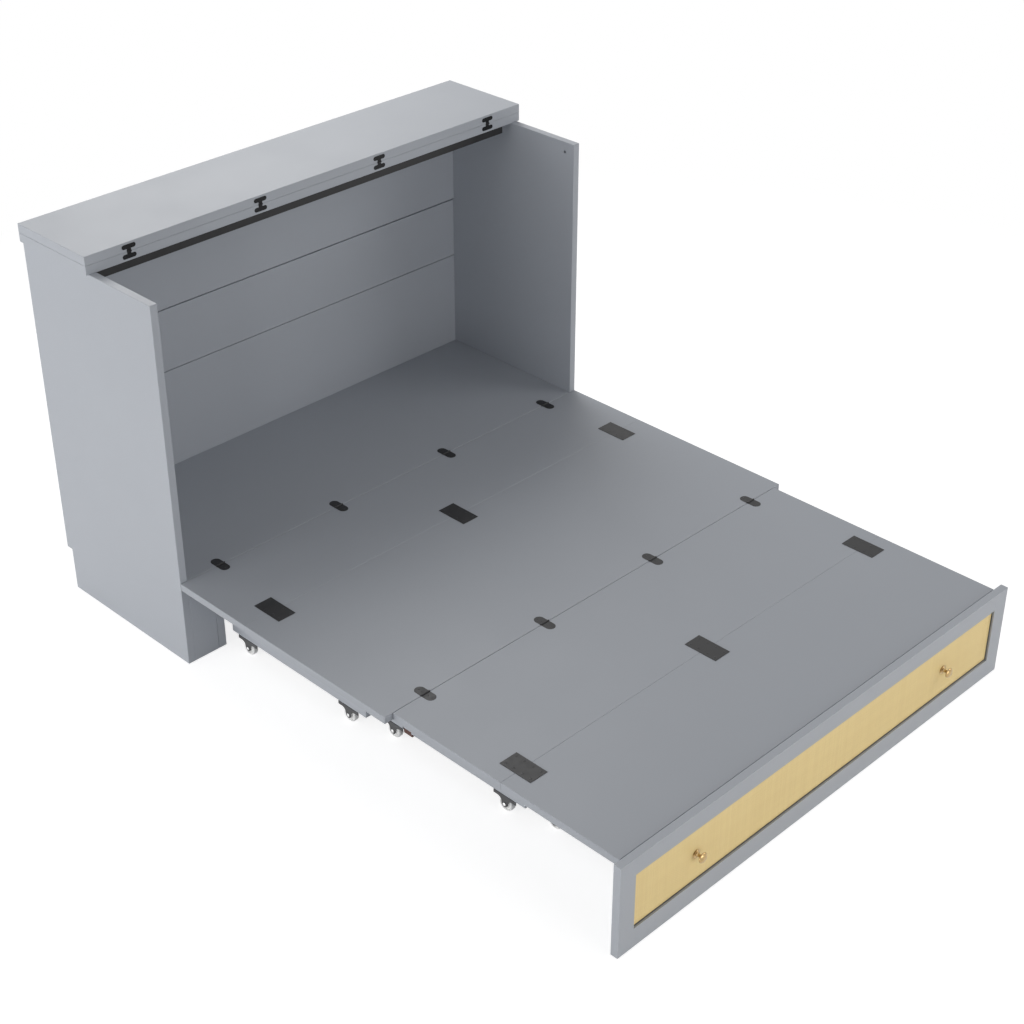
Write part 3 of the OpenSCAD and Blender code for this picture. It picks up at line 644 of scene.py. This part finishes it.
def hinge_centres(node, leaf_length):
    """The middles of four evenly spaced hinges, from the box that holds them all."""
    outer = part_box(node)[1].x - leaf_length / 2
    return [outer * share for share in HINGE_SHARES]


def deck_hinge_screws(name, node, body, joint, side, board):
    """Two screws in each leaf of four hinges; side is 1 behind the axis and -1 before it."""
    axis_y = AXES[joint]["pos_m"][1]
    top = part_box(board)[1].z + LEAF_PROUD
    places = [(Vector((x, axis_y + side * reach, top)), UP)
              for x in hinge_centres(node, DECK_LEAF_W) for reach in DECK_SCREW_FROM_AXIS]
    screws(name, body, "hinge_metal", DECK_SCREW_R, HEAD_RISE, places)


def lid_hinge_screws(name, node, body, side):
    """Two flush screws in the bar of each lid hinge leaf; side is 1 above the axis and -1 below."""
    axis = AXES["lid_fold"]["pos_m"]
    face_y = axis[1] + LID_AXIS_OUT - LEAF_PROUD
    places = [(Vector((x + i * LID_SCREW_SPREAD, face_y, axis[2] + side * LID_BAR_REACH)), FORWARD)
              for x in hinge_centres(node, LID_LEAF_W) for i in (-1, 1)]
    screws(name, body, "lid_hinge_metal", LID_SCREW_R, LID_HEAD_RISE, places)


def plate_screws(name, node, body):
    """Eight screws in each of the three joining plates over a seam."""
    lo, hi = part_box(node)
    middle_y = (lo.y + hi.y) / 2
    across = PLATE_W / 2 - PLATE_MARGIN
    along = (hi.y - lo.y) / 2 - PLATE_MARGIN
    outer = hi.x - PLATE_W / 2
    places = [(Vector((x + i * across, middle_y + j * along, hi.z)), UP)
              for x in (-outer, 0, outer) for i in (-1, 1) for j in PLATE_SHARES]
    screws(name, body, "plate_metal", PLATE_SCREW_R, HEAD_RISE, places)


# Camera, lamps, world and floor

def make_camera():
    data = bpy.data.cameras.new("camera")
    data.sensor_width = SENSOR
    data.lens = LENS
    data.clip_end = CLIP_END
    heading = math.radians(CAMERA_HEADING)
    pitch = math.radians(CAMERA_PITCH)
    forward = Vector((math.sin(heading) * math.cos(pitch), math.cos(heading) * math.cos(pitch),
                      -math.sin(pitch)))
    cam = in_scene("camera", data)
    cam.location = CAMERA_AT
    cam.rotation_euler = forward.to_track_quat("-Z", "Y").to_euler()
    bpy.context.scene.camera = cam


def make_lamps():
    for name, heading, elevation, distance, size, watts in LAMPS:
        data = bpy.data.lights.new(name, "AREA")
        data.shape = "DISK"
        data.size = size
        data.energy = watts
        a = math.radians(heading)
        e = math.radians(elevation)
        away = Vector((math.sin(a) * math.cos(e), -math.cos(a) * math.cos(e), math.sin(e)))
        lamp = in_scene(name, data)
        lamp.location = LAMP_AIM + away * distance
        lamp.rotation_euler = (-away).to_track_quat("-Z", "Y").to_euler()


def seen_directly(tree):
    """1 for rays from the camera, in gloss or through glass, and 0 for light between surfaces."""
    path = add(tree, "ShaderNodeLightPath").outputs
    seen = maths(tree, "MAXIMUM", path["Is Camera Ray"], path["Is Glossy Ray"])
    return maths(tree, "MAXIMUM", seen, path["Is Transmission Ray"])


def grey(level):
    return (level, level, level, 1.0)


def one_of(tree, share, a, b):
    """Shader a where the share is 0, and shader b where it is 1."""
    return add(tree, "ShaderNodeMixShader", {0: share, 1: a.outputs[0], 2: b.outputs[0]})


def make_world():
    """A dim even light for the object, seen as plain white."""
    world = bpy.data.worlds.new("world")
    bpy.context.scene.world = world
    tree = empty_tree(world)
    fill = add(tree, "ShaderNodeBackground", {"Color": grey(1.0), "Strength": WORLD_FILL})
    white = add(tree, "ShaderNodeBackground", {"Color": grey(1.0), "Strength": 1.0})
    both = one_of(tree, seen_directly(tree), fill, white)
    add(tree, "ShaderNodeOutputWorld", {"Surface": both.outputs[0]})


def floor_material():
    """Pale paint that keeps the object's shadow, and fades to plain white further out."""
    mat = bpy.data.materials.new("floor")
    tree = empty_tree(mat)
    plain = add(tree, "ShaderNodeBsdfDiffuse", {"Color": grey(FLOOR_TONE)})
    lit = add(tree, "ShaderNodeBsdfDiffuse", {"Color": grey(FLOOR_SEEN)})
    glow = add(tree, "ShaderNodeEmission", {"Color": grey(1.0), "Strength": FLOOR_GLOW})
    near = add(tree, "ShaderNodeAddShader", {0: lit.outputs[0], 1: glow.outputs[0]})
    far = add(tree, "ShaderNodeEmission", {"Color": grey(1.0), "Strength": 1.0})
    reach = add(tree, "ShaderNodeVectorMath", {0: place_of(tree)}, operation="LENGTH").outputs["Value"]
    pale = one_of(tree, spread(tree, reach, *FLOOR_FADE), near, far)
    both = one_of(tree, seen_directly(tree), plain, pale)
    add(tree, "ShaderNodeOutputMaterial", {"Surface": both.outputs[0]})
    return mat


def make_floor():
    bm = bmesh.new()
    bmesh.ops.create_grid(bm, x_segments=FLOOR_CELLS, y_segments=FLOOR_CELLS, size=FLOOR_SIZE / 2)
    floor = from_mesh("floor", bm, floor_material())


# The scene

bpy.context.scene.view_settings.view_transform = "Standard"
make_camera()
make_lamps()
make_world()
make_floor()
dress_nodes()
weave("front_cane_weave", "front_cane_panel", "front_cart", MATERIALS["cane"])
reed("front_cane_reed", "front_cart", REED_SHADE_COAT)
knobs("front_turned_knobs", "front_knobs", "front_cart")
for cart in ("rear_cart", "middle_cart", "front_cart"):
    rivets(cart, RIVET_ZINC)
for leaves in DECK_LEAVES:
    deck_hinge_screws(*leaves)
lid_hinge_screws("top_hinge_screws", "cabinet_lid_hinge_leaves", "cabinet", -1)
lid_hinge_screws("lid_hinge_screws", "lid_hinge_leaves", "lid", 1)
plate_screws("middle_plate_screws", "mid_deck_joining_plates", "mid_deck")
plate_screws("front_plate_screws", "front_deck_joining_plates", "front_deck")
